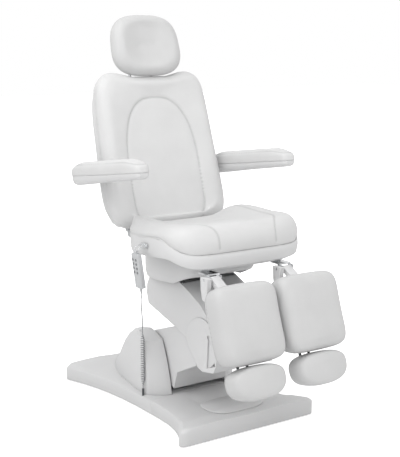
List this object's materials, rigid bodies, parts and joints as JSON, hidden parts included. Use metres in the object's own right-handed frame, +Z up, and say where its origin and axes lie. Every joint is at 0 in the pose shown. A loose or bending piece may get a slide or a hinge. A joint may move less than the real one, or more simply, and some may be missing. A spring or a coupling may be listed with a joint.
{
  "type": "podiatry chair",
  "caption": "Padded podiatry chair on a folding double-arm motor lift, with a reclining back, headrest, folding armrests and separate sliding leg rests.",
  "frame": {"origin": "on the floor, under the middle of the base", "axes": "+Z up, -Y the way the chair faces, +X the patient's left"},
  "size_m": [0.7436, 1.1723, 1.5091],
  "materials": {
    "cover": "smooth moulded plastic, pale grey",
    "pad": "matt synthetic leather, white",
    "frame": "powder coat, grey",
    "grey_plastic": "fine grain, grey",
    "dark_plastic": "fine grain, dark grey",
    "bright": "bright plated",
    "key": "matt, dark grey",
    "cord": "matt, grey"
  },
  "bodies": {
    "base": {"base_frame": "frame", "levelling_feet": "dark_plastic", "pivot_fork": "frame", "lower_pivot_shaft": "bright", "base_cover_front": "cover", "base_cover_rear": "cover", "access_plate": "cover", "hump_cover_left": "cover", "hump_cover_right": "cover", "pivot_hood": "cover", "mains_inlet": "dark_plastic", "cord_gland": "dark_plastic", "handset_coil": "cord"},
    "lower_arm": {"lower_arm_frame": "frame", "lower_arm_cover": "cover"},
    "lower_ties": {"lower_tie_rods": "frame"},
    "knee": {"knee_link": "frame", "knee_cover": "cover"},
    "upper_arm": {"upper_arm_frame": "frame", "upper_arm_cover": "cover"},
    "upper_ties": {"upper_tie_rods": "frame"},
    "carriage": {"carriage_frame": "frame", "upper_pivot_shaft": "bright", "belly_cover": "cover"},
    "seat": {"seat_frame": "frame", "seat_shell": "cover", "seat_cushion": "pad", "handset_holder": "bright"},
    "back": {"back_frame": "frame", "back_shell": "cover", "back_cushion": "pad"},
    "head_bars": {"headrest_bars": "bright"},
    "head": {"headrest_bracket": "frame", "headrest_pad": "pad"},
    "armrest_left": {"arm_shell_left": "cover", "arm_pad_left": "pad"},
    "armrest_right": {"arm_shell_right": "cover", "arm_pad_right": "pad"},
    "hinge_left": {"leg_hinge_left": "bright"},
    "leg_left": {"leg_frame_left": "frame", "calf_pad_left": "pad"},
    "lever_left": {"release_lever_left": "cover"},
    "foot_left": {"foot_rail_left": "frame", "foot_pad_left": "pad"},
    "hinge_right": {"leg_hinge_right": "bright"},
    "leg_right": {"leg_frame_right": "frame", "calf_pad_right": "pad"},
    "lever_right": {"release_lever_right": "cover"},
    "foot_right": {"foot_rail_right": "frame", "foot_pad_right": "pad"},
    "handset": {"handset_body": "grey_plastic", "handset_lead": "cord"},
    "key_1": {"handset_key_1": "key"},
    "key_2": {"handset_key_2": "key"},
    "key_3": {"handset_key_3": "key"},
    "key_4": {"handset_key_4": "key"},
    "key_5": {"handset_key_5": "key"},
    "key_6": {"handset_key_6": "key"},
    "key_7": {"handset_key_7": "key"},
    "key_8": {"handset_key_8": "key"}
  },
  "joints": [
    {"name": "lift_lower", "type": "hinge", "parent": "base", "child": "lower_arm", "pos_m": [0, -0.03, 0.18], "axis": [-1, 0, 0], "range_deg": [0, 20], "deforming": ["handset_coil"]},
    {"name": "knee_level", "type": "hinge", "parent": "lower_arm", "child": "knee", "pos_m": [0, -0.32515, 0.32078], "axis": [-1, 0, 0], "range_deg": [-20, 0]},
    {"name": "lift_upper", "type": "hinge", "parent": "lower_arm", "child": "upper_arm", "pos_m": [0, -0.32515, 0.32078], "axis": [-1, 0, 0], "range_deg": [-40, 0]},
    {"name": "lift_top", "type": "hinge", "parent": "upper_arm", "child": "carriage", "pos_m": [0, -0.03, 0.46155], "axis": [-1, 0, 0], "range_deg": [0, 20]},
    {"name": "lower_tie_turn", "type": "hinge", "parent": "base", "child": "lower_ties", "pos_m": [0, -0.03, 0.125], "axis": [-1, 0, 0], "range_deg": [0, 20]},
    {"name": "upper_tie_turn", "type": "hinge", "parent": "knee", "child": "upper_ties", "pos_m": [0, -0.32515, 0.37578], "axis": [-1, 0, 0], "range_deg": [-20, 0]},
    {"name": "seat_tilt", "type": "hinge", "parent": "carriage", "child": "seat", "pos_m": [0, 0.03, 0.604], "axis": [-1, 0, 0], "range_deg": [-5, 10]},
    {"name": "recline", "type": "hinge", "parent": "seat", "child": "back", "pos_m": [0, 0.085, 0.655], "axis": [-1, 0, 0], "range_deg": [-6, 70]},
    {"name": "headrest_slide", "type": "slide", "parent": "back", "child": "head_bars", "axis": [0, 0.284, 0.9588], "range_m": [0, 0.1]},
    {"name": "headrest_tilt", "type": "hinge", "parent": "head_bars", "child": "head", "pos_m": [0, 0.34249, 1.3695], "axis": [-1, 0, 0], "range_deg": [0, 25]},
    {"name": "armrest_fold_left", "type": "hinge", "parent": "back", "child": "armrest_left", "pos_m": [-0.328, 0.19935, 0.88625], "axis": [-1, 0, 0], "range_deg": [0, 95]},
    {"name": "armrest_fold_right", "type": "hinge", "parent": "back", "child": "armrest_right", "pos_m": [0.328, 0.19935, 0.88625], "axis": [-1, 0, 0], "range_deg": [0, 95]},
    {"name": "leg_splay_left", "type": "hinge", "parent": "seat", "child": "hinge_left", "pos_m": [-0.16, -0.385, 0.611], "axis": [0, 0, -1], "range_deg": [0, 20]},
    {"name": "leg_lift_left", "type": "hinge", "parent": "hinge_left", "child": "leg_left", "pos_m": [-0.16, -0.445, 0.593], "axis": [-1, 0, 0], "range_deg": [0, 75]},
    {"name": "leg_release_left", "type": "hinge", "parent": "hinge_left", "child": "lever_left", "pos_m": [-0.16, -0.445, 0.593], "axis": [-1, 0, 0], "range_deg": [0, 20], "stiffness_Nm_per_rad": 2, "springref_deg": -2.86},
    {"name": "foot_slide_left", "type": "slide", "parent": "leg_left", "child": "foot_left", "axis": [0, -0.3256, -0.9455], "range_m": [0, 0.1]},
    {"name": "leg_splay_right", "type": "hinge", "parent": "seat", "child": "hinge_right", "pos_m": [0.16, -0.385, 0.611], "axis": [0, 0, 1], "range_deg": [0, 20]},
    {"name": "leg_lift_right", "type": "hinge", "parent": "hinge_right", "child": "leg_right", "pos_m": [0.16, -0.445, 0.593], "axis": [-1, 0, 0], "range_deg": [0, 75]},
    {"name": "leg_release_right", "type": "hinge", "parent": "hinge_right", "child": "lever_right", "pos_m": [0.16, -0.445, 0.593], "axis": [-1, 0, 0], "range_deg": [0, 20], "stiffness_Nm_per_rad": 2, "springref_deg": -2.86},
    {"name": "foot_slide_right", "type": "slide", "parent": "leg_right", "child": "foot_right", "axis": [0, -0.3256, -0.9455], "range_m": [0, 0.1]},
    {"name": "handset_swing", "type": "hinge", "parent": "seat", "child": "handset", "pos_m": [-0.332, -0.2, 0.668], "axis": [0, 1, 0], "range_deg": [-6, 25]},
    {"name": "key_1_press", "type": "slide", "parent": "handset", "child": "key_1", "axis": [0.9903, 0, 0.1392], "range_m": [0, 0.001], "stiffness_N_per_m": 400, "springref_m": -0.0005},
    {"name": "key_2_press", "type": "slide", "parent": "handset", "child": "key_2", "axis": [0.9903, 0, 0.1392], "range_m": [0, 0.001], "stiffness_N_per_m": 400, "springref_m": -0.0005},
    {"name": "key_3_press", "type": "slide", "parent": "handset", "child": "key_3", "axis": [0.9903, 0, 0.1392], "range_m": [0, 0.001], "stiffness_N_per_m": 400, "springref_m": -0.0005},
    {"name": "key_4_press", "type": "slide", "parent": "handset", "child": "key_4", "axis": [0.9903, 0, 0.1392], "range_m": [0, 0.001], "stiffness_N_per_m": 400, "springref_m": -0.0005},
    {"name": "key_5_press", "type": "slide", "parent": "handset", "child": "key_5", "axis": [0.9903, 0, 0.1392], "range_m": [0, 0.001], "stiffness_N_per_m": 400, "springref_m": -0.0005},
    {"name": "key_6_press", "type": "slide", "parent": "handset", "child": "key_6", "axis": [0.9903, 0, 0.1392], "range_m": [0, 0.001], "stiffness_N_per_m": 400, "springref_m": -0.0005},
    {"name": "key_7_press", "type": "slide", "parent": "handset", "child": "key_7", "axis": [0.9903, 0, 0.1392], "range_m": [0, 0.001], "stiffness_N_per_m": 400, "springref_m": -0.0005},
    {"name": "key_8_press", "type": "slide", "parent": "handset", "child": "key_8", "axis": [0.9903, 0, 0.1392], "range_m": [0, 0.001], "stiffness_N_per_m": 400, "springref_m": -0.0005}
  ],
  "couplings": [
    {"joint": "knee_level", "follows": "lift_lower", "ratio": -1},
    {"joint": "lift_upper", "follows": "lift_lower", "ratio": -2},
    {"joint": "lift_top", "follows": "lift_lower", "ratio": 1},
    {"joint": "lower_tie_turn", "follows": "lift_lower", "ratio": 1},
    {"joint": "upper_tie_turn", "follows": "lift_lower", "ratio": -1}
  ]
}
